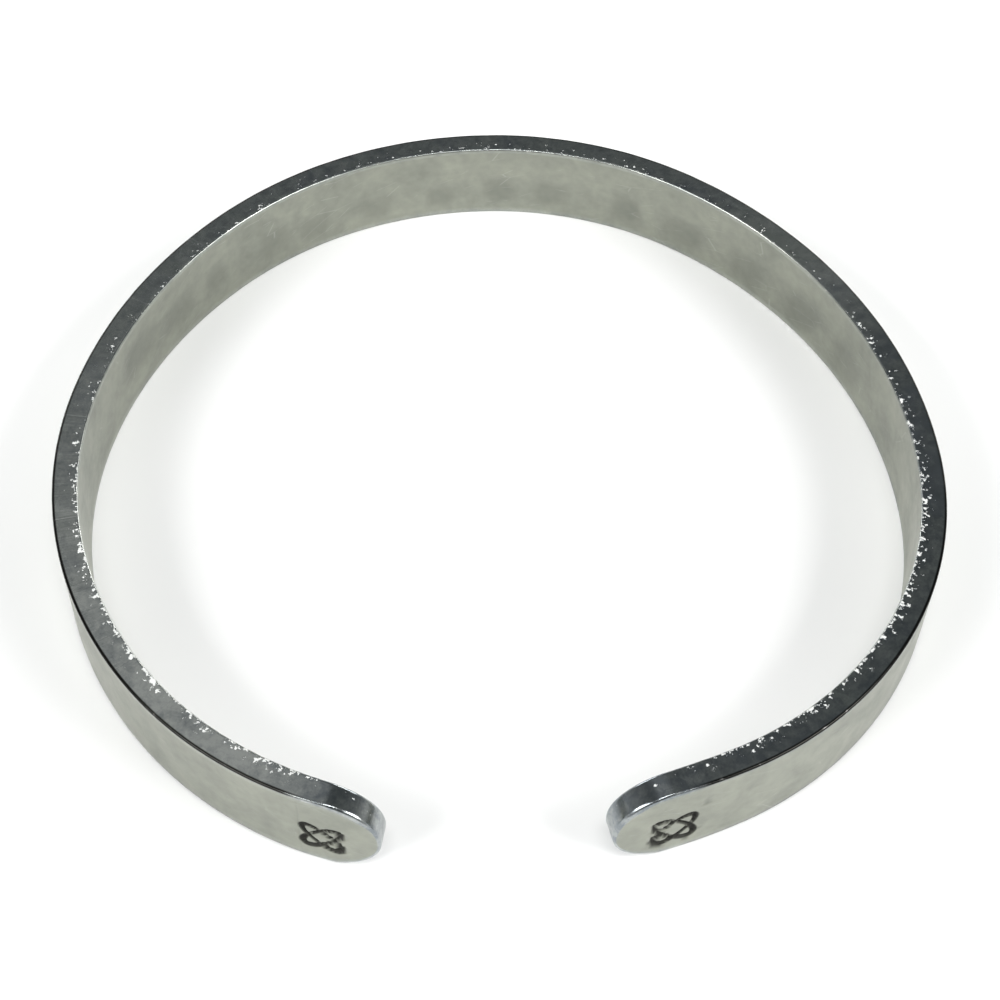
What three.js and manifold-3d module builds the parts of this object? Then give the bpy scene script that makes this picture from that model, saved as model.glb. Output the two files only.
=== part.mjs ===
// Open cuff bracelet: one flat strip of silver with rounded ends, bent into a
// nearly round ring. Millimetres, +Z up. It lies on its lower edge, the opening
// faces -Y, and the origin is the centre of its outline on the surface below it.
//
// The strip is described by three strip coordinates:
//   s  along the middle of the strip, 0 at the back, positive towards the +X end
//   v  across the strip, 0 at mid-width, positive upwards
//   n  through the strip, 0 at mid-thickness, positive away from the wrist

import * as THREE from 'three';
import { mergeVertices } from 'three/addons/utils/BufferGeometryUtils.js';
import Module from 'manifold-3d';

const STRIP_WIDTH = 7.1;
const STRIP_THICKNESS = 1.85;
const CAP_LENGTH = 4.0;
// How much wider the strip is FLARE_AT along it than at the back, as a share. The
// lower edge stays flat, so only the upper edge rises.
const FLARE = 0.1;
const FLARE_AT = 90;
const EDGE_FILLET = 0.3;
const FILLET_STEPS = 3;

// The bend of each half, from the middle of the back to the tip: arcs tangent to
// each other, by mid-thickness radius (mm) and angle turned (degrees).
const RIGHT_BEND = [
  { radius: 27.6, turn: 34.5 },
  { radius: 35.1, turn: 54.4 },
  { radius: 26.4, turn: 67.9 },
  { radius: 54.0, turn: 9.5 },
];
const LEFT_BEND = [
  { radius: 29.9, turn: 44.5 },
  { radius: 35.0, turn: 33.7 },
  { radius: 29.9, turn: 49.4 },
  { radius: 27.5, turn: 41.9 },
];

const COLUMN_STEP = 2.0;
const CAP_STEPS = 8;

// A knot of two crossing ovals, cut as grooves near each end of the outer face.
// It sits a little below the middle of the strip. UNDER_GAP is how far round an
// oval (radians) its groove stops from a crossing where it passes under.
const KNOT_FROM_TIP = 4.1;
const KNOT_DROP = 0.75;
const OVAL_HALF_LENGTH = 1.7;
const OVAL_HALF_WIDTH = 0.73;
const OVAL_TILT = 42;
const UNDER_GAP = 0.22;
const GROOVE_STEPS = 12;
const GROOVE_DEPTH = 0.35;
const GROOVE_MOUTH = 0.3;
const GROOVE_FLOOR = 0.12;
const CUTTER_RISE = 0.2;

const SILVER = { color: 0xa9ab9c, roughness: 0.34, metalness: 1.0 };

const HALF_WIDTH = STRIP_WIDTH / 2;
const HALF_THICKNESS = STRIP_THICKNESS / 2;

const radians = THREE.MathUtils.degToRad;

function arcLength(arc) {
  return arc.radius * radians(arc.turn);
}

function bendLength(bend) {
  return bend.reduce((total, arc) => total + arcLength(arc), 0);
}

// Position and heading of the strip's middle line at a distance from the back.
function walkBend(bend, distance) {
  let x = 0;
  let y = 0;
  let heading = 0;
  let left = distance;
  for (const arc of bend) {
    const length = Math.min(left, arcLength(arc));
    const next = heading + length / arc.radius;
    x += arc.radius * (Math.sin(next) - Math.sin(heading));
    y += arc.radius * (Math.cos(next) - Math.cos(heading));
    heading = next;
    left -= length;
    if (left <= 0) break;
  }
  return { x, y, heading };
}

// A point of the bent strip, from its strip coordinates.
function bent(s, v, n) {
  const side = s < 0 ? -1 : 1;
  const at = walkBend(s < 0 ? LEFT_BEND : RIGHT_BEND, Math.abs(s));
  return new THREE.Vector3(
    side * (at.x + n * Math.sin(at.heading)),
    at.y + n * Math.cos(at.heading),
    (v + HALF_WIDTH) * (1 + FLARE * (s / FLARE_AT) ** 2),
  );
}

// Columns across the strip from the left tip to the right tip. Each has the
// middle of its half-oval cap, or itself on the straight part, and its turn
// round the cap.
function stripColumns() {
  const leftCap = -(bendLength(LEFT_BEND) - CAP_LENGTH);
  const rightCap = bendLength(RIGHT_BEND) - CAP_LENGTH;
  const columns = [];
  for (let i = CAP_STEPS; i > 0; i--) {
    columns.push({ s: leftCap, turn: -(Math.PI / 2) * (i / CAP_STEPS) });
  }
  const count = Math.round((rightCap - leftCap) / COLUMN_STEP);
  for (let i = 0; i <= count; i++) {
    columns.push({ s: leftCap + ((rightCap - leftCap) * i) / count, turn: 0 });
  }
  for (let i = 1; i <= CAP_STEPS; i++) {
    columns.push({ s: rightCap, turn: (Math.PI / 2) * (i / CAP_STEPS) });
  }
  return columns;
}

// The rim's section: how far each point lies inside the outline, and its n.
function rimProfile() {
  const outer = [];
  for (let i = 0; i <= FILLET_STEPS; i++) {
    const turn = (Math.PI / 2) * (i / FILLET_STEPS);
    outer.push({
      inset: EDGE_FILLET * (1 - Math.sin(turn)),
      n: HALF_THICKNESS - EDGE_FILLET * (1 - Math.cos(turn)),
    });
  }
  const inner = outer.map(({ inset, n }) => ({ inset, n: -n })).reverse();
  return [...outer, ...inner];
}

function geometryOf(points, triangles) {
  const geometry = new THREE.BufferGeometry().setFromPoints(points);
  geometry.setIndex(triangles.flat());
  return geometry;
}

// The plain bent strip: a rim swept round the outline, closed by two faces.
function stripGeometry() {
  const columns = stripColumns();
  const profile = rimProfile();
  const last = columns.length - 1;
  const lower = columns.map((column, k) => ({ ...column, k, side: -1 }));
  const upper = columns.slice(1, last).map((column, k) => ({ ...column, k: k + 1, side: 1 }));
  const outline = [...lower, ...upper.reverse()];
  const points = [];
  for (const { inset, n } of profile) {
    for (const { s, turn, side } of outline) {
      const at = new THREE.Vector2(CAP_LENGTH * Math.sin(turn), HALF_WIDTH * Math.cos(turn));
      const outward = new THREE.Vector2(HALF_WIDTH * Math.sin(turn), CAP_LENGTH * Math.cos(turn));
      at.addScaledVector(outward.normalize(), -inset);
      points.push(bent(s + at.x, side * at.y, n));
    }
  }
  const round = outline.length;
  const triangles = [];
  for (let j = 0; j < profile.length - 1; j++) {
    for (let i = 0; i < round; i++) {
      const next = (i + 1) % round;
      const a = j * round + i;
      const b = j * round + next;
      const c = (j + 1) * round + next;
      const d = (j + 1) * round + i;
      triangles.push([a, b, c], [a, c, d]);
    }
  }
  const upperIndex = (k) => (k === 0 || k === last ? k : round - k);
  const innerRow = (profile.length - 1) * round;
  for (let k = 0; k < last; k++) {
    const corners = [k, k + 1, upperIndex(k + 1), upperIndex(k)];
    for (const [p, q, r] of [[0, 1, 2], [0, 2, 3]]) {
      const face = [corners[p], corners[q], corners[r]];
      if (new Set(face).size < 3) continue;
      triangles.push([face[0], face[2], face[1]]);
      triangles.push(face.map((index) => index + innerRow));
    }
  }
  return geometryOf(points, triangles);
}

// A point of a knot's oval before it is tilted, and the direction out of it.
function ovalPoint(turn) {
  const at = new THREE.Vector2(OVAL_HALF_LENGTH * Math.cos(turn), OVAL_HALF_WIDTH * Math.sin(turn));
  const outward = new THREE.Vector2(OVAL_HALF_WIDTH * Math.cos(turn), OVAL_HALF_LENGTH * Math.sin(turn));
  return { at, outward: outward.normalize() };
}

// Where an oval crosses its mirror image on the knot's own axes, as its turn.
function crossingTurn(tilt, direction) {
  const across = new THREE.Vector2(Math.cos(direction - tilt), Math.sin(direction - tilt));
  return Math.atan2(across.y / OVAL_HALF_WIDTH, across.x / OVAL_HALF_LENGTH);
}

// A cutter along one stretch of an oval, wide at the face and narrow below.
function ovalCutter(knotAt, tilt, from, to) {
  const section = [
    { across: -GROOVE_FLOOR / 2, n: HALF_THICKNESS - GROOVE_DEPTH },
    { across: GROOVE_FLOOR / 2, n: HALF_THICKNESS - GROOVE_DEPTH },
    { across: GROOVE_MOUTH / 2, n: HALF_THICKNESS + CUTTER_RISE },
    { across: -GROOVE_MOUTH / 2, n: HALF_THICKNESS + CUTTER_RISE },
  ];
  const points = [];
  for (let i = 0; i <= GROOVE_STEPS; i++) {
    const { at, outward } = ovalPoint(from + ((to - from) * i) / GROOVE_STEPS);
    for (const { across, n } of section) {
      const corner = at.clone().addScaledVector(outward, across);
      corner.rotateAround(new THREE.Vector2(), tilt);
      points.push(bent(knotAt + corner.x, corner.y - KNOT_DROP, n));
    }
  }
  const sides = section.length;
  const end = GROOVE_STEPS * sides;
  const triangles = [
    [0, 3, 2], [0, 2, 1],
    [end, end + 1, end + 2], [end, end + 2, end + 3],
  ];
  for (let i = 0; i < GROOVE_STEPS; i++) {
    for (let j = 0; j < sides; j++) {
      const over = (j + 1) % sides;
      const a = i * sides + j;
      const b = (i + 1) * sides + j;
      const c = (i + 1) * sides + over;
      const d = i * sides + over;
      triangles.push([a, c, b], [a, d, c]);
    }
  }
  return geometryOf(points, triangles);
}

// The four grooves of one knot. Each oval runs over the other at two crossings
// and stops short of it at the two between them, so the ovals look laced.
function knotCutters(knotAt) {
  const cutters = [];
  for (const { tilt, under } of [
    { tilt: radians(OVAL_TILT), under: Math.PI / 2 },
    { tilt: -radians(OVAL_TILT), under: 0 },
  ]) {
    for (const direction of [under, under + Math.PI]) {
      const from = crossingTurn(tilt, direction);
      let to = crossingTurn(tilt, direction + Math.PI);
      if (to < from) to += 2 * Math.PI;
      cutters.push(ovalCutter(knotAt, tilt, from + UNDER_GAP, to - UNDER_GAP));
    }
  }
  return cutters;
}

const wasm = await Module();
wasm.setup();

function toSolid(geometry) {
  const merged = mergeVertices(geometry);
  const mesh = new wasm.Mesh({
    numProp: 3,
    vertProperties: new Float32Array(merged.attributes.position.array),
    triVerts: new Uint32Array(merged.index.array),
  });
  return new wasm.Manifold(mesh);
}

function toGeometry(solid) {
  const { vertProperties, triVerts } = solid.getMesh();
  const geometry = new THREE.BufferGeometry();
  geometry.setAttribute('position', new THREE.BufferAttribute(vertProperties, 3));
  geometry.setIndex(new THREE.BufferAttribute(triVerts, 1));
  return geometry;
}

function knottedStrip() {
  let solid = toSolid(stripGeometry());
  const knots = [
    -(bendLength(LEFT_BEND) - KNOT_FROM_TIP),
    bendLength(RIGHT_BEND) - KNOT_FROM_TIP,
  ];
  for (const cutter of knots.flatMap(knotCutters)) {
    solid = solid.subtract(toSolid(cutter));
  }
  return toGeometry(solid);
}

// Stands the geometry on z = 0 with the middle of its outline at the origin.
function standAtOrigin(geometry) {
  geometry.computeBoundingBox();
  const { min, max } = geometry.boundingBox;
  geometry.translate(-(min.x + max.x) / 2, -(min.y + max.y) / 2, -min.z);
  return geometry;
}

const silver = new THREE.MeshStandardMaterial(SILVER);
const band = new THREE.Mesh(standAtOrigin(knottedStrip()), silver);
band.name = 'cuff_band';

const bracelet = new THREE.Group();
bracelet.name = 'cuff_bracelet';
bracelet.add(band);

export default bracelet;
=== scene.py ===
"""Looks of an open silver cuff bracelet that lies on its lower edge.

The bracelet is one strip of metal with rounded ends, bent into a nearly round
ring. This script builds its fine surface: the rounded edges, the laced knots
engraved near the ends, the soft dents inside the back and the small nicks of
wear. It then dresses it in satin silver and sets up a plain pale studio.

Strip coordinates, used throughout, are in metres:
    s  along the middle of the strip, 0 at the back, positive towards the +X end
    v  across the strip, 0 at mid-width, positive upwards
    n  through the strip, 0 at mid-thickness, positive away from the wrist
"""

from __future__ import annotations

import logging
import math
from dataclasses import dataclass, field
from enum import Enum

import bpy
import numpy as np
from mathutils import Matrix, Vector

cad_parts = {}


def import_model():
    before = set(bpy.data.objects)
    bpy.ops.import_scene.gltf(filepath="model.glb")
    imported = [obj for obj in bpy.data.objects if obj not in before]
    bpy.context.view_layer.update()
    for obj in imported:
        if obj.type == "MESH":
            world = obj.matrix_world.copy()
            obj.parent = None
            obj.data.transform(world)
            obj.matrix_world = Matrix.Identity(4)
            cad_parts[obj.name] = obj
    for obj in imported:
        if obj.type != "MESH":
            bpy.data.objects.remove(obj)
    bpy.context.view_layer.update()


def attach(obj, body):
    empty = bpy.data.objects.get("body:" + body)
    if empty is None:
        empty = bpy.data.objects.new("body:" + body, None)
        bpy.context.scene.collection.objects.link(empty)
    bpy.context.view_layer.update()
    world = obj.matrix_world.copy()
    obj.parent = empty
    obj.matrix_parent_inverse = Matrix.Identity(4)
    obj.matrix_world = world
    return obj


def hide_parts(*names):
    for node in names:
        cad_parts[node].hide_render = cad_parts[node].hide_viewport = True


log = logging.getLogger("cuff")

MM = 0.001


# --------------------------------------------------------------------------
# Shape of the strip
# --------------------------------------------------------------------------


def smooth(edge0: float, edge1: float, x: np.ndarray) -> np.ndarray:
    """A smooth step from 0 at edge0 to 1 at edge1."""
    t = np.clip((x - edge0) / (edge1 - edge0), 0.0, 1.0)
    return t * t * (3.0 - 2.0 * t)


@dataclass(frozen=True)
class Arc:
    """One arc of the bend, measured at mid-thickness."""

    radius: float
    turn_deg: float

    @property
    def length(self) -> float:
        """Length along the arc."""
        return self.radius * math.radians(self.turn_deg)


@dataclass(frozen=True)
class Bend:
    """The bend of one half of the ring: tangent arcs from the back to the tip."""

    arcs: tuple[Arc, ...]

    @property
    def length(self) -> float:
        """Length of the whole half."""
        return sum(arc.length for arc in self.arcs)

    def walk(self, distance: np.ndarray) -> tuple[np.ndarray, np.ndarray, np.ndarray]:
        """Follows the middle line from the back.

        Args:
            distance: Distances from the back, none negative.

        Returns:
            The sideways and backward position and the heading in radians.
        """
        x = np.zeros_like(distance)
        y = np.zeros_like(distance)
        heading = np.zeros_like(distance)
        start = 0.0
        for arc in self.arcs:
            step = np.clip(distance - start, 0.0, arc.length)
            turned = heading + step / arc.radius
            x += arc.radius * (np.sin(turned) - np.sin(heading))
            y += arc.radius * (np.cos(turned) - np.cos(heading))
            heading = turned
            start += arc.length
        return x, y, heading


@dataclass(frozen=True)
class StripShape:
    """Sizes of the strip and the bend that makes it a ring."""

    width: float = 7.1 * MM
    thickness: float = 1.85 * MM
    cap_length: float = 4.0 * MM
    flare: float = 0.10
    flare_at: float = 90 * MM
    outer_fillet: float = 0.16 * MM
    inner_fillet: float = 0.14 * MM
    end_fillet: float = 0.24 * MM
    end_reach: float = 6.5 * MM
    right: Bend = Bend(
        (
            Arc(27.6 * MM, 34.5),
            Arc(35.1 * MM, 54.4),
            Arc(26.4 * MM, 67.9),
            Arc(54.0 * MM, 9.5),
        )
    )
    left: Bend = Bend(
        (
            Arc(29.9 * MM, 44.5),
            Arc(35.0 * MM, 33.7),
            Arc(29.9 * MM, 49.4),
            Arc(27.5 * MM, 41.9),
        )
    )

    @property
    def half_width(self) -> float:
        """Half the strip's width."""
        return self.width / 2

    @property
    def left_cap(self) -> float:
        """Where, along the strip, the middle of the left end's half-oval lies."""
        return -(self.left.length - self.cap_length)

    @property
    def right_cap(self) -> float:
        """Where, along the strip, the middle of the right end's half-oval lies."""
        return self.right.length - self.cap_length

    def outline(self, s0: np.ndarray, turn: np.ndarray, side: np.ndarray, inset: np.ndarray
                ) -> tuple[np.ndarray, np.ndarray]:
        """Points of the strip's outline, moved inwards.

        Args:
            s0: Station of each point, or the middle of its cap.
            turn: How far round its cap each point is, 0 on the straight part.
            side: -1 on the lower edge and 1 on the upper one.
            inset: How far inside the outline each point lies.

        Returns:
            The points' s and v.
        """
        along, across = self.cap_length * np.sin(turn), self.half_width * np.cos(turn)
        out_s, out_v = self.half_width * np.sin(turn), self.cap_length * np.cos(turn)
        size = np.hypot(out_s, out_v)
        return s0 + along - inset * out_s / size, side * (across - inset * out_v / size)

    def fillet(self, s: np.ndarray, plain: float) -> np.ndarray:
        """Radius of an edge's rounding, which grows towards the polished ends."""
        to_tip = np.where(s < 0, self.left.length + s, self.right.length - s)
        return self.end_fillet + (plain - self.end_fillet) * smooth(0.35 * self.end_reach, self.end_reach, to_tip)

    def bent(self, s: np.ndarray, v: np.ndarray, n: np.ndarray) -> np.ndarray:
        """Bends strip coordinates into the ring.

        Args:
            s: Distances along the strip.
            v: Distances across it.
            n: Distances through it.

        Returns:
            Positions, one row each, before the ring is centred.
        """
        side = np.where(s < 0, -1.0, 1.0)
        distance = np.abs(s)
        right = self.right.walk(distance)
        left = self.left.walk(distance)
        x, y, heading = (np.where(s < 0, a, b) for a, b in zip(left, right))
        return np.stack(
            [
                side * (x + n * np.sin(heading)),
                y + n * np.cos(heading),
                (v + self.half_width) * (1.0 + self.flare * (s / self.flare_at) ** 2),
            ],
            axis=1,
        )


# --------------------------------------------------------------------------
# Relief on the faces
# --------------------------------------------------------------------------


class End(Enum):
    """The two ends of the strip, by the sign of s."""

    LEFT = -1
    RIGHT = 1


@dataclass(frozen=True)
class LacedKnot:
    """Two crossing ovals, engraved so that each passes over and under the other."""

    end: End
    from_tip: float
    drop: float = 0.72 * MM
    half_length: float = 1.64 * MM
    half_width: float = 0.64 * MM
    tilt_deg: float = 42.0
    groove_width: float = 0.43 * MM
    depth: float = 0.27 * MM
    under_gap: float = 0.30 * MM

    def centre(self, shape: StripShape) -> float:
        """Where the knot lies along the strip."""
        half = shape.left if self.end is End.LEFT else shape.right
        return self.end.value * (half.length - self.from_tip)

    def _oval(self, x: np.ndarray, y: np.ndarray, tilt: float) -> np.ndarray:
        """Signed distance, nearly, from one oval's line."""
        c, s = math.cos(tilt), math.sin(tilt)
        u = (x * c + y * s) / self.half_length
        w = (-x * s + y * c) / self.half_width
        value = np.sqrt(u * u + w * w) + 1e-9
        slope = np.sqrt((u / self.half_length) ** 2 + (w / self.half_width) ** 2) / value
        return (value - 1.0) / (slope + 1e-9)

    def relief(self, shape: StripShape, s: np.ndarray, v: np.ndarray) -> tuple[np.ndarray, np.ndarray]:
        """Depth of the engraving.

        Args:
            shape: The strip.
            s: Distances along the strip.
            v: Distances across it.

        Returns:
            How far each point sinks, and how much dark patina it holds (0 to 1).
        """
        x = s - self.centre(shape)
        y = v + self.drop
        tilt = math.radians(self.tilt_deg)
        ovals = [self._oval(x, y, tilt), self._oval(x, y, -tilt)]
        c, n = math.cos(tilt), math.sin(tilt)
        on_x = 1.0 / math.hypot(c / self.half_length, n / self.half_width)
        on_y = 1.0 / math.hypot(n / self.half_length, c / self.half_width)
        near_x = np.hypot(np.abs(x) - on_x, y)
        near_y = np.hypot(x, np.abs(y) - on_y)
        reach = np.hypot(x, y)
        width = self.groove_width * (0.72 + 0.38 * smooth(0.7 * MM, 1.5 * MM, reach))
        heavier = 1.0 + 0.22 * smooth(0.0, 1.2 * MM, -y)
        sunk = np.zeros_like(x)
        dark = np.zeros_like(x)
        for distance, under in zip(ovals, (near_y, near_x)):
            across = np.abs(distance) / (width * heavier / 2)
            groove = 1.0 - smooth(0.25, 1.0, across)
            stain = 1.0 - smooth(0.85, 1.2, across)
            open_here = smooth(0.55 * self.under_gap, 1.15 * self.under_gap, under)
            sunk = np.maximum(sunk, groove * open_here)
            dark = np.maximum(dark, stain * open_here)
        inside = np.minimum(ovals[0], ovals[1]) < 0
        pillow = 0.10 * inside * (1.0 - smooth(0.0, 0.35 * MM, np.minimum(*map(np.abs, ovals))))
        raised = 1.0 - smooth(1.9 * MM, 2.3 * MM, reach)
        return self.depth * (sunk + pillow) * raised, np.clip(dark, 0, 1) * raised


@dataclass(frozen=True)
class Dimple:
    """A soft dent: its place, half sizes, depth, and how rounded its corners are."""

    s: float
    v: float
    half_s: float
    half_v: float
    depth: float
    power: float = 3.0

    def relief(self, s: np.ndarray, v: np.ndarray) -> np.ndarray:
        """How far each point sinks, as a share of depth."""
        a = np.abs((s - self.s) / self.half_s)
        b = np.abs((v - self.v) / self.half_v)
        r = (a**self.power + b**self.power) ** (1.0 / self.power)
        return 1.0 - smooth(0.55, 1.25, r)


@dataclass(frozen=True)
class Waves:
    """A sum of sines with fixed phases, for the unevenness of hand work."""

    lengths: tuple[float, ...]
    phase: float = 0.0

    def at(self, s: np.ndarray, v: np.ndarray | float = 0.0) -> np.ndarray:
        """Values near -1 to 1 at strip positions."""
        total = np.zeros_like(s)
        for i, length in enumerate(self.lengths):
            lean = 0.6 * math.sin(2.3 * i + self.phase)
            total += np.sin(2 * math.pi * (s + lean * v) / length + 1.7 * i * i + self.phase)
        return total / len(self.lengths)


@dataclass(frozen=True)
class FaceRelief:
    """Everything that shapes the two broad faces."""

    knots: tuple[LacedKnot, ...] = (
        LacedKnot(End.LEFT, 3.95 * MM),
        LacedKnot(End.RIGHT, 4.25 * MM, half_length=1.76 * MM, half_width=0.76 * MM, drop=0.85 * MM),
    )
    inner_dimples: tuple[Dimple, ...] = tuple(
        Dimple(s * MM, v * MM, a * MM, b * MM, d * MM)
        for s, v, a, b, d in (
            (-36.5, 0.4, 2.6, 1.6, 0.055),
            (-30.8, -0.2, 2.0, 1.5, 0.050),
            (-26.2, -0.3, 1.3, 1.3, 0.045),
            (-19.8, -0.8, 1.7, 1.5, 0.050),
            (-15.9, -1.1, 1.5, 1.3, 0.045),
            (-10.2, -1.3, 1.6, 1.3, 0.050),
            (-4.6, -1.4, 1.3, 1.1, 0.055),
            (0.4, -0.9, 1.5, 1.4, 0.045),
            (5.0, -1.1, 1.7, 1.4, 0.045),
            (11.6, -0.9, 1.4, 1.3, 0.040),
            (17.2, -1.0, 1.9, 1.5, 0.045),
            (23.4, -1.1, 1.8, 1.6, 0.045),
            (30.0, -1.0, 2.1, 1.8, 0.055),
            (36.2, -0.9, 2.1, 1.7, 0.055),
        )
    )
    outer_dings: tuple[Dimple, ...] = (
        Dimple(83.75 * MM, 1.35 * MM, 0.16 * MM, 0.36 * MM, 0.07 * MM, 2.0),
        Dimple(83.85 * MM, 2.35 * MM, 0.07 * MM, 0.80 * MM, 0.03 * MM, 2.0),
        Dimple(-84.25 * MM, 0.2 * MM, 0.10 * MM, 3.2 * MM, 0.02 * MM, 2.0),
    )
    outer_waves: Waves = Waves((23 * MM, 13.5 * MM, 7.3 * MM, 41 * MM), 0.4)
    inner_waves: Waves = Waves((19 * MM, 11.1 * MM, 5.9 * MM, 31 * MM), 2.1)
    wave_height: float = 0.012 * MM

    def outer(self, shape: StripShape, s: np.ndarray, v: np.ndarray) -> tuple[np.ndarray, np.ndarray, np.ndarray]:
        """Relief of the outer face: sunk distance, patina and the painted shade of its dents."""
        sunk = self.wave_height * (1.0 + self.outer_waves.at(s, v))
        patina = np.zeros_like(s)
        dents = np.zeros_like(s)
        for knot in self.knots:
            depth, dark = knot.relief(shape, s, v)
            sunk = sunk + depth
            patina = np.maximum(patina, dark)
        for ding in self.outer_dings:
            share = ding.relief(s, v)
            sunk = sunk + ding.depth * share
            # Painted shade in the ding, darker the deeper it is.
            dents = np.maximum(dents, share * min(1.0, ding.depth / (0.07 * MM)))
        return sunk, patina, dents

    def inner(self, s: np.ndarray, v: np.ndarray) -> tuple[np.ndarray, np.ndarray, np.ndarray]:
        """Relief of the inner face: sunk distance, patina and the painted shade of its dents."""
        sunk = self.wave_height * (1.0 + self.inner_waves.at(s, v))
        dents = np.zeros_like(s)
        for dimple in self.inner_dimples:
            share = dimple.relief(s, v)
            sunk = sunk + dimple.depth * share
            # Painted shade in the dent.
            dents = np.maximum(dents, 0.55 * share)
        return sunk, np.zeros_like(s), dents


# --------------------------------------------------------------------------
# The fine mesh of the band
# --------------------------------------------------------------------------


@dataclass(frozen=True)
class MeshSteps:
    """How closely the fine mesh follows the strip."""

    plain: float = 0.42 * MM
    engraved: float = 0.068 * MM
    engraved_reach: float = 1.95 * MM
    cap_columns: int = 20
    face_row: float = 0.45 * MM
    support: float = 0.05 * MM
    fillet_steps: int = 4
    rim_rows: int = 4
    rim_border: float = 0.05
    nick_growth: float = 0.25


@dataclass(frozen=True)
class EdgeZone:
    """How the narrow edge looks at one place along the strip.

    light is how bright the polished edge is painted there, a painted reflection from
    0 dark to 1 bright, and nicks is how much of its inner corner is nicked, with
    painted white glints on the nicks.
    """

    s: float
    light: float
    nicks: float


# Painted reflection along the polished edge, and how nicked its inner corner is, station by station.
EDGE_ZONES = (
    EdgeZone(-89.5 * MM, 0.25, 0.0),
    EdgeZone(-86.5 * MM, 0.10, 0.0),
    EdgeZone(-83.5 * MM, 0.75, 0.9),
    EdgeZone(-72.0 * MM, 0.75, 1.0),
    EdgeZone(-56.0 * MM, 0.75, 0.9),
    EdgeZone(-45.0 * MM, 0.70, 0.5),
    EdgeZone(-20.0 * MM, 0.42, 0.2),
    EdgeZone(0.0 * MM, 0.45, 0.3),
    EdgeZone(20.0 * MM, 0.40, 0.2),
    EdgeZone(23.0 * MM, 0.80, 0.1),
    EdgeZone(30.0 * MM, 0.85, 0.1),
    EdgeZone(35.0 * MM, 0.50, 0.3),
    EdgeZone(39.0 * MM, 0.15, 0.7),
    EdgeZone(55.0 * MM, 0.10, 1.0),
    EdgeZone(76.0 * MM, 0.22, 1.0),
    EdgeZone(84.0 * MM, 0.35, 0.6),
    EdgeZone(87.0 * MM, 0.15, 0.0),
    EdgeZone(90.2 * MM, 0.25, 0.0),
)


class Channel(Enum):
    """Point attributes that the material reads."""

    ALONG = "strip_along"
    ACROSS = "strip_across"
    RIM = "rim_share"
    INNER_EDGE = "inner_edge"
    # Weight of the painted shade: a dark line along the outer corner.
    OUTER_PAINTED_SHADE = "outer_painted_shade"
    EDGE_REFLECTION = "edge_painted_reflection"
    NICKED = "edge_nicks"
    PATINA = "groove_patina"
    DENT_SHADE = "dent_painted_shade"
    INNER_FACE = "inner_face"


@dataclass(frozen=True)
class RimRow:
    """One row of the rim: its inset and n at each outline point, and which edge it is on."""

    inset: np.ndarray
    n: np.ndarray
    # Weight of the painted shade, the dark line of the outer corner, in this row.
    outer_painted_shade: float
    inner_edge: float
    face_like: float = 0.0


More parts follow.
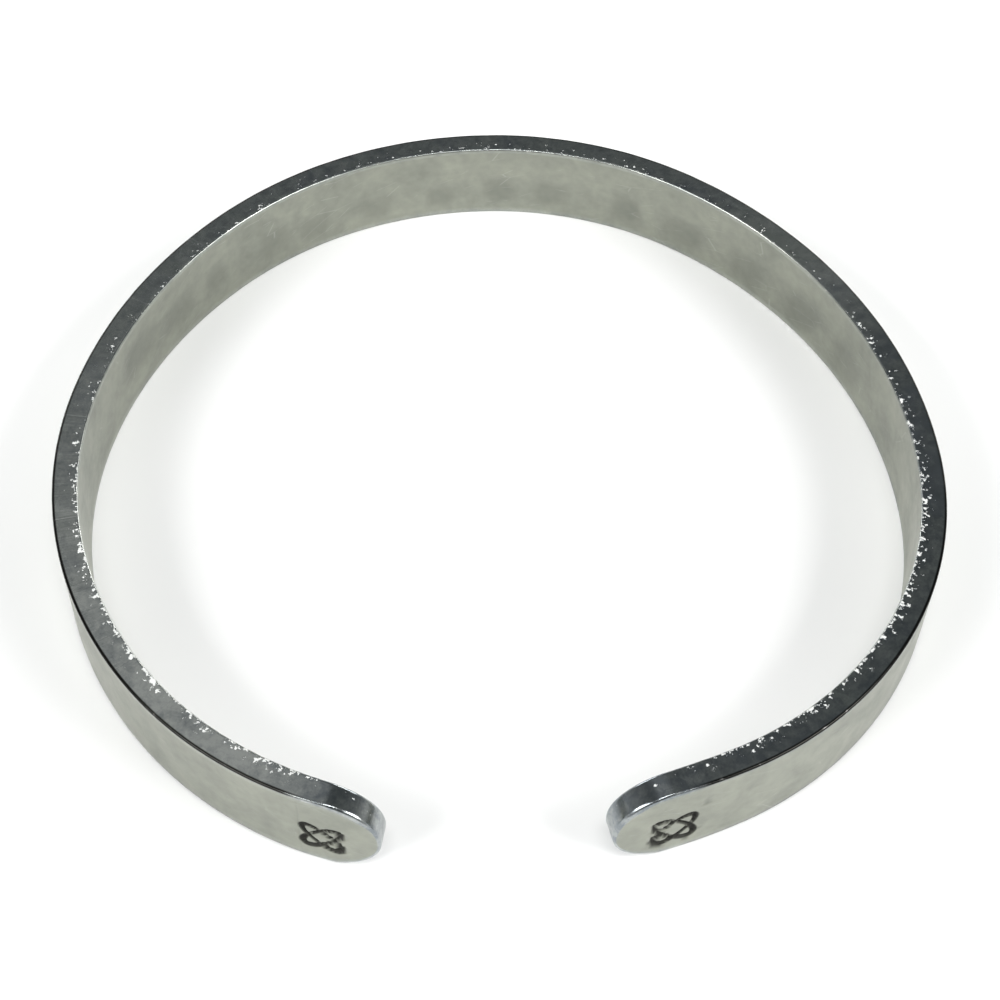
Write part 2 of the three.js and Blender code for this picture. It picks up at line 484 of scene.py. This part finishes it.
@dataclass
class BandMesh:
    """Builds the closed mesh of the bracelet from strip coordinates."""

    shape: StripShape
    relief: FaceRelief
    steps: MeshSteps = field(default_factory=MeshSteps)
    _last_ring: int = 0

    def _columns(self) -> tuple[np.ndarray, np.ndarray]:
        """Stations from tip to tip: cap or strip position, and outline turn."""
        st, sh = self.steps, self.shape
        turns = (np.arange(st.cap_columns, 0, -1) / st.cap_columns) * math.pi / 2
        spots = [sh.left_cap]
        centres = [knot.centre(sh) for knot in self.relief.knots]
        while spots[-1] < sh.right_cap:
            here = spots[-1]
            near = min(abs(here - c) for c in centres) < st.engraved_reach
            spots.append(here + (st.engraved if near else st.plain))
        spots[-1] = sh.right_cap
        if spots[-1] - spots[-2] < 0.3 * st.engraved:
            del spots[-2]
        s = np.array([sh.left_cap] * len(turns) + spots + [sh.right_cap] * len(turns))
        turn = np.concatenate([-turns, np.zeros(len(spots)), turns[::-1]])
        return s, turn

    def _rows(self, fine: bool) -> np.ndarray:
        """Shares of the half-height, -1 to 1, at which a face has its rows."""
        st, sh = self.steps, self.shape
        half = sh.half_width
        rows = [-half, -half + st.support]
        knots = self.relief.knots
        low = min(-k.drop for k in knots) - st.engraved_reach
        high = max(-k.drop for k in knots) + st.engraved_reach
        while rows[-1] < half - st.support - 1e-9:
            here = rows[-1]
            close = fine and low < here < high
            rows.append(here + (st.engraved if close else st.face_row))
        rows[-1] = half - st.support
        rows.append(half)
        return np.array(rows) / half

    def _rim(self, outer: np.ndarray, inner: np.ndarray) -> list[RimRow]:
        """The rim's section, from the outer face to the inner one.

        Args:
            outer: Fillet radius of the outer edge at each outline point.
            inner: Fillet radius of the inner edge at each outline point.

        Returns:
            The rows of the rim.
        """
        st = self.steps
        half = self.shape.thickness / 2
        rows: list[RimRow] = []
        for i in range(st.fillet_steps + 1):
            a = math.pi / 2 * i / st.fillet_steps
            shade = 0.5 if i == 0 else 1.0
            rows.append(RimRow(outer * (1 - math.sin(a)), half - outer * (1 - math.cos(a)), shade, 0.0))
        top, low = half - outer, -(half - inner)
        flat = np.linspace(0.0, 1.0, st.rim_rows + 1)[1:-1]
        for t in (st.rim_border, *flat, 1.0 - st.rim_border):
            rows.append(RimRow(outer * 0.0, top + (low - top) * t, 0.0, t**3))
        for i in range(st.fillet_steps + 1):
            a = math.pi / 2 * i / st.fillet_steps
            turned = i / st.fillet_steps
            drop = low - inner * math.sin(a)
            rows.append(RimRow(inner * (1 - math.cos(a)), drop, 0.0, 1.0 - 0.5 * turned, 0.85 * turned))
        return rows

    def build(self) -> bpy.types.Object:
        """Makes the mesh.

        Returns:
            The band as a new object, linked to the scene.
        """
        sh = self.shape
        col_s, col_turn = self._columns()
        count = len(col_s)
        lower = np.arange(count)
        upper = np.arange(count - 2, 0, -1)
        outline = np.concatenate([lower, upper])
        side = np.concatenate([-np.ones(len(lower)), np.ones(len(upper))])
        s0, turn = col_s[outline], col_turn[outline]
        round_count = len(outline)
        parts: list[dict[str, np.ndarray]] = []
        faces: list[tuple[int, ...]] = []
        edge_waves = Waves((9.1 * MM, 4.3 * MM, 2.6 * MM), 1.1)
        ragged = Waves((1.9 * MM, 1.13 * MM, 0.71 * MM, 3.7 * MM), 0.2)
        lumps = Waves((2.9 * MM, 1.7 * MM, 4.1 * MM), 0.9)
        walk = s0 + sh.cap_length * np.sin(turn)
        nicked = self._zone(walk, [zone.nicks for zone in EDGE_ZONES])
        torn = smooth(0.05, 0.45, ragged.at(s0 + 1.7 * MM * side)) * nicked
        uneven = 0.010 * MM * (1 + edge_waves.at(s0 + 3.3 * MM * side))
        polish = 1.0 + 0.30 * lumps.at(walk + 1.3 * MM * side) * (walk != s0)
        outer = sh.fillet(walk, sh.outer_fillet) * polish
        inner = sh.fillet(walk, sh.inner_fillet) * (1 + self.steps.nick_growth * torn)
        rim = self._rim(outer, inner)
        for row in rim:
            s, v = sh.outline(s0, turn, side, row.inset + uneven)
            parts.append(self._ring(s, v, row))
        for j in range(len(rim) - 1):
            for i in range(round_count):
                nxt = (i + 1) % round_count
                a, b = j * round_count + i, j * round_count + nxt
                faces.append((a, b, b + round_count, a + round_count))
        base = len(rim) * round_count
        self._last_ring = len(rim) - 1
        base = self._face(parts, faces, base, col_s, col_turn, 0, outer=True)
        self._face(parts, faces, base, col_s, col_turn, (len(rim) - 1) * round_count, outer=False)
        return self._object(parts, faces)

    def _ring(self, s: np.ndarray, v: np.ndarray, row: RimRow) -> dict[str, np.ndarray]:
        """Point data of one row of the rim."""
        zero = np.zeros_like(s)
        return {
            "co": np.stack([s, v, row.n], axis=1),
            Channel.RIM.value: 1.0 - row.face_like * self._shaded(s),
            Channel.INNER_EDGE.value: zero + row.inner_edge,
            Channel.OUTER_PAINTED_SHADE.value: row.outer_painted_shade * self._shaded(s),
            Channel.PATINA.value: zero,
            Channel.DENT_SHADE.value: zero,
            Channel.INNER_FACE.value: zero,
        }

    def _face(self, parts: list, faces: list, base: int, col_s: np.ndarray, col_turn: np.ndarray,
              rim_row: int, outer: bool) -> int:
        """Adds one broad face inside the rim's first or last row.

        Args:
            parts: Point data so far, added to.
            faces: Faces so far, added to.
            base: Index of the next new point.
            col_s: Station of each column.
            col_turn: Outline turn of each column; not used.
            rim_row: Index of the first point of the rim row that it joins.
            outer: True for the outer face.

        Returns:
            The next free point index.
        """
        sh = self.shape
        rows = self._rows(fine=outer)[1:-1]
        count = len(col_s)
        ring = parts[0 if outer else self._last_ring]["co"]
        below = ring[1 : count - 1, :2]
        above = ring[count:, :2][::-1]
        share = (rows[None, :, None] + 1.0) / 2.0
        grid = below[:, None, :] * (1.0 - share) + above[:, None, :] * share
        flat_s, flat_v = grid[..., 0].ravel(), grid[..., 1].ravel()
        if outer:
            sunk, patina, dents = self.relief.outer(sh, flat_s, flat_v)
        else:
            sunk, patina, dents = self.relief.inner(flat_s, flat_v)
        gap = (1.0 - np.abs(rows))[None, :] * np.hypot(*(above - below).T)[:, None] / 2.0
        to_tip = np.where(flat_s < 0, self.shape.left.length + flat_s, self.shape.right.length - flat_s)
        to_edge = np.minimum(gap.ravel(), to_tip - sh.outer_fillet)
        sunk = sunk * smooth(0.0, 0.5 * MM, to_edge)
        sign = 1.0 if outer else -1.0
        n = sign * (sh.thickness / 2 - sunk)
        near = 1.0 - smooth(0.0, 0.35 * MM, to_edge)
        zero = np.zeros_like(flat_s)
        parts.append(
            {
                "co": np.stack([flat_s, flat_v, n], axis=1),
                Channel.RIM.value: 0.45 * near**2,
                Channel.INNER_EDGE.value: zero if outer else 0.6 * near**2,
                # The painted shade of the outer corner reaches a little onto the outer face.
                Channel.OUTER_PAINTED_SHADE.value: 0.3 * near**2 * self._shaded(flat_s) if outer else zero,
                Channel.PATINA.value: patina,
                Channel.DENT_SHADE.value: dents,
                Channel.INNER_FACE.value: zero if outer else zero + 1.0,
            }
        )
        total = 2 * count - 2

        def index(k: int, r: int) -> int:
            """The point at column k and row r, where the outermost rows are the rim's."""
            if k in (0, count - 1) or r < 0:
                return rim_row + k
            if r >= len(rows):
                return rim_row + (total - k)
            return base + (k - 1) * len(rows) + r

        for k in range(count - 1):
            for r in range(-1, len(rows)):
                corners = [index(k, r), index(k + 1, r), index(k + 1, r + 1), index(k, r + 1)]
                ring = list(dict.fromkeys(corners))
                if len(ring) < 3:
                    continue
                faces.append(tuple(ring[::-1] if outer else ring))
        return base + len(flat_s)

    def _shaded(self, s: np.ndarray) -> np.ndarray:
        """How much of the painted shade, a dark line along the outer corner, is left, 0 at the ends."""
        to_tip = np.where(s < 0, self.shape.left.length + s, self.shape.right.length - s)
        return smooth(4.6 * MM, 6.6 * MM, to_tip)

    @staticmethod
    def _zone(s: np.ndarray, values: list[float]) -> np.ndarray:
        """Values between the charted zones of the edge."""
        return np.interp(s, [zone.s for zone in EDGE_ZONES], values)

    def _object(self, parts: list[dict[str, np.ndarray]], faces: list[tuple[int, ...]]) -> bpy.types.Object:
        """Bends the points, centres the ring and fills a mesh object."""
        strip = np.concatenate([part["co"] for part in parts])
        points = self.shape.bent(strip[:, 0], strip[:, 1], strip[:, 2])
        low, high = points.min(axis=0), points.max(axis=0)
        points -= np.array([(low[0] + high[0]) / 2, (low[1] + high[1]) / 2, low[2]])
        mesh = bpy.data.meshes.new("cuff_band_fine")
        mesh.from_pydata(points.tolist(), [], faces)
        for channel in Channel:
            if channel is Channel.ALONG:
                values = strip[:, 0] / MM
            elif channel is Channel.ACROSS:
                values = strip[:, 1] / MM
            # The painted reflection of the edge, station by station.
            elif channel is Channel.EDGE_REFLECTION:
                values = self._zone(strip[:, 0], [zone.light for zone in EDGE_ZONES])
            elif channel is Channel.NICKED:
                values = self._zone(strip[:, 0], [zone.nicks for zone in EDGE_ZONES])
            else:
                values = np.concatenate([part[channel.value] for part in parts])
            layer = mesh.attributes.new(channel.value, "FLOAT", "POINT")
            layer.data.foreach_set("value", values.astype(np.float32))
        mesh.polygons.foreach_set("use_smooth", [True] * len(mesh.polygons))
        mesh.update()
        band = bpy.data.objects.new("cuff_band_fine", mesh)
        bpy.context.scene.collection.objects.link(band)
        return band


# --------------------------------------------------------------------------
# Shader node groups
# --------------------------------------------------------------------------


class NodeGroup:
    """A shader node group with named inputs and outputs, built once."""

    name = ""

    def __init__(self) -> None:
        self.tree = bpy.data.node_groups.new(self.name, "ShaderNodeTree")
        self.enter = self.tree.nodes.new("NodeGroupInput")
        self.leave = self.tree.nodes.new("NodeGroupOutput")

    def takes(self, name: str, kind: str, value: object = None) -> None:
        """Adds a named input with its starting value."""
        socket = self.tree.interface.new_socket(name, in_out="INPUT", socket_type=kind)
        if value is not None:
            socket.default_value = value

    def gives(self, name: str, kind: str) -> None:
        """Adds a named output."""
        self.tree.interface.new_socket(name, in_out="OUTPUT", socket_type=kind)

    def node(self, kind: str, **settings: object) -> bpy.types.Node:
        """Adds a node and sets its properties."""
        made = self.tree.nodes.new(kind)
        for key, value in settings.items():
            setattr(made, key, value)
        return made

    def link(self, source: bpy.types.NodeSocket, target: bpy.types.NodeSocket) -> None:
        """Joins two sockets."""
        self.tree.links.new(source, target)

    def math(self, operation: str, a: object, b: object = 0.0, clamp: bool = False) -> bpy.types.NodeSocket:
        """One step of arithmetic on sockets or numbers."""
        made = self.node("ShaderNodeMath", operation=operation, use_clamp=clamp)
        for slot, value in zip(made.inputs, (a, b)):
            if isinstance(value, bpy.types.NodeSocket):
                self.link(value, slot)
            else:
                slot.default_value = value
        return made.outputs[0]

    def ramp(self, value: bpy.types.NodeSocket, low: float, high: float) -> bpy.types.NodeSocket:
        """A smooth step of a value, 0 at low and 1 at high."""
        made = self.node("ShaderNodeMapRange", interpolation_type="SMOOTHSTEP", clamp=True)
        self.link(value, made.inputs["Value"])
        made.inputs["From Min"].default_value = low
        made.inputs["From Max"].default_value = high
        return made.outputs["Result"]

    def noise(self, vector: bpy.types.NodeSocket, scale: object, detail: float,
              roughness: float = 0.55, distortion: float = 0.0) -> bpy.types.NodeSocket:
        """Fractal noise at a vector."""
        made = self.node("ShaderNodeTexNoise", noise_dimensions="3D")
        self.link(vector, made.inputs["Vector"])
        if isinstance(scale, bpy.types.NodeSocket):
            self.link(scale, made.inputs["Scale"])
        else:
            made.inputs["Scale"].default_value = scale
        made.inputs["Detail"].default_value = detail
        made.inputs["Roughness"].default_value = roughness
        made.inputs["Distortion"].default_value = distortion
        return made.outputs["Fac"]

    def add_to(self, tree: bpy.types.NodeTree) -> bpy.types.Node:
        """Puts an instance of the group in a material."""
        made = tree.nodes.new("ShaderNodeGroup")
        made.node_tree = self.tree
        made.label = self.name
        return made


class SatinGrain(NodeGroup):
    """The fine grain of a satin face, drawn out a little along the strip."""

    name = "Satin grain"

    def __init__(self) -> None:
        super().__init__()
        self.takes("Vector", "NodeSocketVector")
        self.takes("Stretch", "NodeSocketFloat", 3.0)
        self.takes("Scale", "NodeSocketFloat", 9.0)
        self.gives("Value", "NodeSocketFloat")
        split = self.node("ShaderNodeSeparateXYZ")
        self.link(self.enter.outputs["Vector"], split.inputs[0])
        drawn = self.math("DIVIDE", split.outputs["X"], self.enter.outputs["Stretch"])
        joined = self.node("ShaderNodeCombineXYZ")
        self.link(drawn, joined.inputs["X"])
        self.link(split.outputs["Y"], joined.inputs["Y"])
        self.link(split.outputs["Z"], joined.inputs["Z"])
        fine = self.noise(joined.outputs[0], self.enter.outputs["Scale"], 4.0, 0.65)
        self.link(fine, self.leave.inputs["Value"])


class MottledTone(NodeGroup):
    """Soft cloudy patches, from a few millimetres down to a few tenths."""

    name = "Mottled tone"

    def __init__(self) -> None:
        super().__init__()
        self.takes("Vector", "NodeSocketVector")
        self.takes("Scale", "NodeSocketFloat", 0.35)
        self.takes("Contrast", "NodeSocketFloat", 1.0)
        self.gives("Value", "NodeSocketFloat")
        broad = self.noise(self.enter.outputs["Vector"], self.enter.outputs["Scale"], 3.0, 0.5, 0.6)
        double = self.math("MULTIPLY", self.enter.outputs["Scale"], 4.7)
        small = self.noise(self.enter.outputs["Vector"], double, 2.0, 0.5)
        mixed = self.math("ADD", self.math("MULTIPLY", broad, 0.7), self.math("MULTIPLY", small, 0.3))
        centred = self.math("SUBTRACT", mixed, 0.5)
        spread = self.math("MULTIPLY", centred, self.enter.outputs["Contrast"])
        self.link(self.math("ADD", spread, 0.5, clamp=True), self.leave.inputs["Value"])


class WornEdge(NodeGroup):
    """Where an edge is rubbed or nicked: a mask broken up by noise."""

    name = "Worn edge"

    def __init__(self) -> None:
        super().__init__()
        self.takes("Vector", "NodeSocketVector")
        self.takes("Edge", "NodeSocketFloat", 0.0)
        self.takes("Scale", "NodeSocketFloat", 2.3)
        self.takes("Cover", "NodeSocketFloat", 0.5)
        self.gives("Mask", "NodeSocketFloat")
        rough = self.noise(self.enter.outputs["Vector"], self.enter.outputs["Scale"], 3.0, 0.7)
        edge = self.enter.outputs["Edge"]
        worn = self.math("MULTIPLY", self.enter.outputs["Cover"], edge)
        level = self.math("SUBTRACT", 1.0, worn)
        above = self.math("SUBTRACT", rough, self.math("MULTIPLY", level, 0.66))
        nicked = self.ramp(above, 0.0, 0.07)
        mask = self.math("MULTIPLY", nicked, self.ramp(edge, 0.02, 0.3), clamp=True)
        self.link(mask, self.leave.inputs["Mask"])


class HairScratches(NodeGroup):
    """Sparse hairline scratches that run mostly along the strip."""

    name = "Hair scratches"

    def __init__(self) -> None:
        super().__init__()
        self.takes("Vector", "NodeSocketVector")
        self.takes("Scale", "NodeSocketFloat", 0.8)
        self.takes("Width", "NodeSocketFloat", 0.02)
        self.gives("Mask", "NodeSocketFloat")
        lean = self.node("ShaderNodeMapping", vector_type="TEXTURE")
        lean.inputs["Rotation"].default_value = (0.0, 0.0, 0.31)
        lean.inputs["Scale"].default_value = (5.0, 1.0, 1.0)
        self.link(self.enter.outputs["Vector"], lean.inputs["Vector"])
        cells = self.node("ShaderNodeTexVoronoi", feature="DISTANCE_TO_EDGE", voronoi_dimensions="2D")
        self.link(lean.outputs[0], cells.inputs["Vector"])
        self.link(self.enter.outputs["Scale"], cells.inputs["Scale"])
        thin = self.math("DIVIDE", cells.outputs["Distance"], self.enter.outputs["Width"])
        line = self.math("SUBTRACT", 1.0, thin, clamp=True)
        broken = self.noise(self.enter.outputs["Vector"], 0.55, 2.0)
        mask = self.math("MULTIPLY", line, self.ramp(broken, 0.5, 0.62))
        self.link(mask, self.leave.inputs["Mask"])


# --------------------------------------------------------------------------
# The silver
# --------------------------------------------------------------------------


@dataclass(frozen=True)
class SilverFinish:
    """Satin silver with polished edges and dark patina in its engraving."""

    face_colour: tuple[float, float, float] = (0.365, 0.375, 0.318)
    face_dull: tuple[float, float, float] = (0.25, 0.262, 0.228)
    # Colour of the painted shade in the dents.
    dent_shade_colour: tuple[float, float, float] = (0.19, 0.20, 0.175)
    edge_colour: tuple[float, float, float] = (0.62, 0.64, 0.61)
    # Dark colour painted on the edge where it stands in for a dark reflection.
    edge_painted_dark_reflection: tuple[float, float, float] = (0.235, 0.258, 0.275)
    bright: tuple[float, float, float] = (0.93, 0.93, 0.91)
    # line: near-black painted shade along the outer corner of the edge.
    line: tuple[float, float, float] = (0.02, 0.02, 0.018)
    patina: tuple[float, float, float] = (0.012, 0.012, 0.008)
    face_roughness: float = 0.36
    edge_roughness: float = 0.17
    nick_roughness: float = 0.8
    nick_cover: float = 0.24
    # Near-white painted glint on the real nicks of the inner corner.
    nick_glint_colour: tuple[float, float, float] = (0.80, 0.81, 0.79)
    grain_height: float = 0.012 * MM

    def build(self) -> bpy.types.Material:
        """Makes the material.

        Returns:
            The finished material.
        """
        material = bpy.data.materials.new("satin_silver")
        material.use_nodes = True
        tree = material.node_tree
        tree.nodes.clear()
        link = tree.links.new
        grain_group, tone_group = SatinGrain(), MottledTone()
        wear_group, hair_group = WornEdge(), HairScratches()

        def add(kind: str, **settings: object) -> bpy.types.Node:
            made = tree.nodes.new(kind)
            for key, value in settings.items():
                setattr(made, key, value)
            return made

        def channel(which: Channel) -> bpy.types.NodeSocket:
            return add("ShaderNodeAttribute", attribute_name=which.value).outputs["Fac"]

        def sums(operation: str, a: object, b: object, clamp: bool = False) -> bpy.types.NodeSocket:
            made = add("ShaderNodeMath", operation=operation, use_clamp=clamp)
            for slot, value in zip(made.inputs, (a, b)):
                if isinstance(value, bpy.types.NodeSocket):
                    link(value, slot)
                else:
                    slot.default_value = value
            return made.outputs[0]

        def mix(share: bpy.types.NodeSocket, a: object, b: object) -> bpy.types.NodeSocket:
            made = add("ShaderNodeMix", data_type="RGBA")
            link(share, made.inputs[0])
            for slot, value in zip((made.inputs[6], made.inputs[7]), (a, b)):
                if isinstance(value, bpy.types.NodeSocket):
                    link(value, slot)
                else:
                    slot.default_value = (*value, 1.0)
            return made.outputs[2]

        def blend(share: bpy.types.NodeSocket, a: object, b: object) -> bpy.types.NodeSocket:
            made = add("ShaderNodeMix", data_type="FLOAT")
            link(share, made.inputs[0])
            for slot, value in zip((made.inputs[2], made.inputs[3]), (a, b)):
                if isinstance(value, bpy.types.NodeSocket):
                    link(value, slot)
                else:
                    slot.default_value = value
            return made.outputs[0]

        strip = add("ShaderNodeCombineXYZ")
        link(channel(Channel.ALONG), strip.inputs["X"])
        link(channel(Channel.ACROSS), strip.inputs["Y"])
        link(sums("MULTIPLY", channel(Channel.INNER_FACE), 37.0), strip.inputs["Z"])
        place = strip.outputs[0]
        solid = add("ShaderNodeTexCoord").outputs["Object"]
        in_mm = add("ShaderNodeVectorMath", operation="SCALE")
        link(solid, in_mm.inputs[0])
        in_mm.inputs["Scale"].default_value = 1.0 / MM
        around = in_mm.outputs[0]

        grain = grain_group.add_to(tree)
        link(place, grain.inputs["Vector"])
        tone = tone_group.add_to(tree)
        link(place, tone.inputs["Vector"])
        tone.inputs["Scale"].default_value = 0.30
        tone.inputs["Contrast"].default_value = 2.1
        edge_tone = tone_group.add_to(tree)
        link(around, edge_tone.inputs["Vector"])
        edge_tone.inputs["Scale"].default_value = 0.22
        edge_tone.inputs["Contrast"].default_value = 3.2
        fleck = tone_group.add_to(tree)
        link(around, fleck.inputs["Vector"])
        fleck.inputs["Scale"].default_value = 1.3
        fleck.inputs["Contrast"].default_value = 1.6
        nicks = wear_group.add_to(tree)
        link(around, nicks.inputs["Vector"])
        link(channel(Channel.INNER_EDGE), nicks.inputs["Edge"])
        link(sums("MULTIPLY", channel(Channel.NICKED), self.nick_cover), nicks.inputs["Cover"])
        hairs = hair_group.add_to(tree)
        link(place, hairs.inputs["Vector"])

        rim = channel(Channel.RIM)
        dents = channel(Channel.DENT_SHADE)
        patina = channel(Channel.PATINA)
        face = mix(tone.outputs["Value"], self.face_dull, self.face_colour)
        # Painted shade: the dents are darkened in colour.
        face = mix(sums("MULTIPLY", dents, 0.75, True), face, self.dent_shade_colour)
        # Painted reflection: the polished edge is painted darker or lighter along the strip, with mottle and specks.
        cloud = sums("MULTIPLY", sums("SUBTRACT", edge_tone.outputs["Value"], 0.5), 0.6)
        speckle = sums("MULTIPLY", sums("SUBTRACT", fleck.outputs["Value"], 0.5), 1.1)
        edge_reflection_share = sums("ADD", sums("ADD", channel(Channel.EDGE_REFLECTION), cloud), speckle, True)
        edge = mix(edge_reflection_share, self.edge_painted_dark_reflection, self.edge_colour)
        # Painted shade: a near-black line along the outer corner, faded out near the ends.
        edge = mix(channel(Channel.OUTER_PAINTED_SHADE), edge, self.line)
        # Painted glints: the nicks of the inner corner are painted near-white.
        edge = mix(nicks.outputs["Mask"], edge, self.nick_glint_colour)
        colour = mix(rim, face, edge)
        colour = mix(sums("MULTIPLY", hairs.outputs["Mask"], 0.12, True), colour, self.bright)
        speck = sums("MULTIPLY", patina, sums("ADD", 0.72, sums("MULTIPLY", grain.outputs["Value"], 0.5)), True)
        colour = mix(speck, colour, self.patina)

        rough = blend(tone.outputs["Value"], self.face_roughness + 0.06, self.face_roughness - 0.04)
        edge_rough = blend(edge_tone.outputs["Value"], self.edge_roughness + 0.10, self.edge_roughness)
        rough = blend(rim, rough, edge_rough)
        rough = blend(nicks.outputs["Mask"], rough, self.nick_roughness)
        rough = blend(patina, rough, 0.7)

        height = sums("MULTIPLY", grain.outputs["Value"], self.grain_height)
        lines = sums("MULTIPLY", hairs.outputs["Mask"], -0.006 * MM)
        chips = sums("MULTIPLY", nicks.outputs["Mask"], -0.02 * MM)
        height = sums("ADD", sums("ADD", height, lines), chips)
        bump = add("ShaderNodeBump")
        bump.inputs["Strength"].default_value = 0.55
        bump.inputs["Distance"].default_value = 1.0
        link(height, bump.inputs["Height"])

        silver = add("ShaderNodeBsdfPrincipled")
        link(colour, silver.inputs["Base Color"])
        link(rough, silver.inputs["Roughness"])
        # The nicks lose metal shine so that their painted glint shows white under the lamps.
        broken = sums("MULTIPLY", nicks.outputs["Mask"], 0.6)
        link(sums("SUBTRACT", 1.0, sums("ADD", broken, sums("MULTIPLY", patina, 0.8)), True), silver.inputs["Metallic"])
        link(bump.outputs["Normal"], silver.inputs["Normal"])
        link(silver.outputs[0], add("ShaderNodeOutputMaterial").inputs["Surface"])
        return material


# --------------------------------------------------------------------------
# Studio
# --------------------------------------------------------------------------


@dataclass(frozen=True)
class SoftLight:
    """A soft rectangular light aimed at the bracelet."""

    name: str
    azimuth_deg: float
    elevation_deg: float
    distance: float
    size: tuple[float, float]
    power: float

    def build(self, target: Vector) -> bpy.types.Object:
        """Makes the light. Azimuth 0 is in front of the opening, 90 on the right."""
        a, e = math.radians(self.azimuth_deg), math.radians(self.elevation_deg)
        way = Vector((math.sin(a) * math.cos(e), -math.cos(a) * math.cos(e), math.sin(e)))
        data = bpy.data.lights.new(self.name, "AREA")
        data.shape = "RECTANGLE"
        data.size, data.size_y = self.size
        data.energy = self.power
        light = bpy.data.objects.new(self.name, data)
        light.location = target + way * self.distance
        light.rotation_euler = (-way).to_track_quat("-Z", "Y").to_euler()
        bpy.context.scene.collection.objects.link(light)
        return light


@dataclass(frozen=True)
class CameraSetup:
    """Where the camera stands and how it looks at the bracelet."""

    azimuth_deg: float = -2.5
    elevation_deg: float = 53.4
    roll_deg: float = -1.6
    distance: float = 155.4 * MM
    lens: float = 74.2
    aim: tuple[float, float, float] = (0.16 * MM, -0.65 * MM, 0.0)

    def build(self) -> bpy.types.Object:
        """Makes the camera and gives it to the scene."""
        a, e = math.radians(self.azimuth_deg), math.radians(self.elevation_deg)
        roll = math.radians(self.roll_deg)
        back = Vector((math.sin(a) * math.cos(e), -math.cos(a) * math.cos(e), math.sin(e)))
        level = Vector((math.cos(a), math.sin(a), 0.0))
        rise = back.cross(level)
        right = level * math.cos(roll) - rise * math.sin(roll)
        up = level * math.sin(roll) + rise * math.cos(roll)
        data = bpy.data.cameras.new("camera")
        data.sensor_width = 36.0
        data.lens = self.lens
        data.clip_start, data.clip_end = 0.005, 20.0
        camera = bpy.data.objects.new("camera", data)
        place = Matrix((right, up, back)).transposed().to_4x4()
        place.translation = Vector(self.aim) + back * self.distance
        camera.matrix_world = place
        bpy.context.scene.collection.objects.link(camera)
        bpy.context.scene.camera = camera
        return camera


@dataclass(frozen=True)
class Studio:
    """A pale floor, a dim sky that brightens to the horizon, and soft lights."""

    floor_size: float = 1.6
    floor_colour: tuple[float, float, float] = (0.93, 0.93, 0.925)
    sky_top: tuple[float, float, float] = (0.105, 0.115, 0.115)
    sky_low: tuple[float, float, float] = (0.55, 0.56, 0.56)
    lights: tuple[SoftLight, ...] = (
        SoftLight("front_left", -62, 38, 0.75, (0.42, 0.30), 4.0),
        SoftLight("front_right", 68, 38, 0.75, (0.42, 0.30), 4.0),
        SoftLight("front", 4, 74, 0.80, (0.30, 0.10), 1.6),
        SoftLight("back_left", -150, 20, 0.70, (0.40, 0.10), 1.3),
        SoftLight("back_right", 148, 20, 0.70, (0.40, 0.10), 1.3),
        SoftLight("ceiling_left", -160, 64, 0.80, (0.34, 0.34), 0.11),
    )

    def build(self) -> None:
        """Makes the floor, the sky and the lights."""
        self._floor()
        self._sky()
        target = Vector((0.0, 0.0, 0.0035))
        for light in self.lights:
            light.build(target)

    def _floor(self) -> None:
        half = self.floor_size / 2
        mesh = bpy.data.meshes.new("floor")
        corners = [(-half, -half, 0), (half, -half, 0), (half, half, 0), (-half, half, 0)]
        mesh.from_pydata(corners, [], [(0, 1, 2, 3)])
        floor = bpy.data.objects.new("floor", mesh)
        bpy.context.scene.collection.objects.link(floor)
        paper = bpy.data.materials.new("pale_paper")
        paper.use_nodes = True
        shader = paper.node_tree.nodes["Principled BSDF"]
        shader.inputs["Base Color"].default_value = (*self.floor_colour, 1.0)
        shader.inputs["Roughness"].default_value = 0.9
        shader.inputs["Specular IOR Level"].default_value = 0.1
        mesh.materials.append(paper)

    def _sky(self) -> None:
        world = bpy.data.worlds.new("studio_sky")
        world.use_nodes = True
        tree = world.node_tree
        tree.nodes.clear()
        coord = tree.nodes.new("ShaderNodeTexCoord")
        split = tree.nodes.new("ShaderNodeSeparateXYZ")
        tree.links.new(coord.outputs["Generated"], split.inputs[0])
        ramp = tree.nodes.new("ShaderNodeValToRGB")
        tree.links.new(split.outputs["Z"], ramp.inputs["Fac"])
        ramp.color_ramp.elements[0].position = 0.05
        ramp.color_ramp.elements[0].color = (*self.sky_low, 1.0)
        ramp.color_ramp.elements[1].position = 0.5
        ramp.color_ramp.elements[1].color = (*self.sky_top, 1.0)
        shade = tree.nodes.new("ShaderNodeBackground")
        tree.links.new(ramp.outputs["Color"], shade.inputs["Color"])
        out = tree.nodes.new("ShaderNodeOutputWorld")
        tree.links.new(shade.outputs[0], out.inputs["Surface"])
        bpy.context.scene.world = world


# --------------------------------------------------------------------------
# The bracelet
# --------------------------------------------------------------------------


@dataclass
class CuffBracelet:
    """The bracelet: its fine band, dressed in silver."""

    shape: StripShape = field(default_factory=StripShape)
    relief: FaceRelief = field(default_factory=FaceRelief)
    finish: SilverFinish = field(default_factory=SilverFinish)

    def build(self) -> bpy.types.Object:
        """Makes the band and its material and ties it to the frame."""
        band = BandMesh(self.shape, self.relief).build()
        band.data.materials.append(self.finish.build())
        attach(band, "root")
        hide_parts("cuff_band")
        return band


def main() -> None:
    """Builds the bracelet and its studio."""
    logging.basicConfig(level=logging.INFO, format="%(name)s: %(message)s")
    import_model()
    band = CuffBracelet().build()
    faces = len(band.data.polygons)
    band.data.calc_loop_triangles()
    log.info("%s: %d faces, %d triangles", band.name, faces, len(band.data.loop_triangles))
    Studio().build()
    CameraSetup().build()
    bpy.context.scene.view_settings.view_transform = "Standard"


if __name__ == "__main__":
    main()
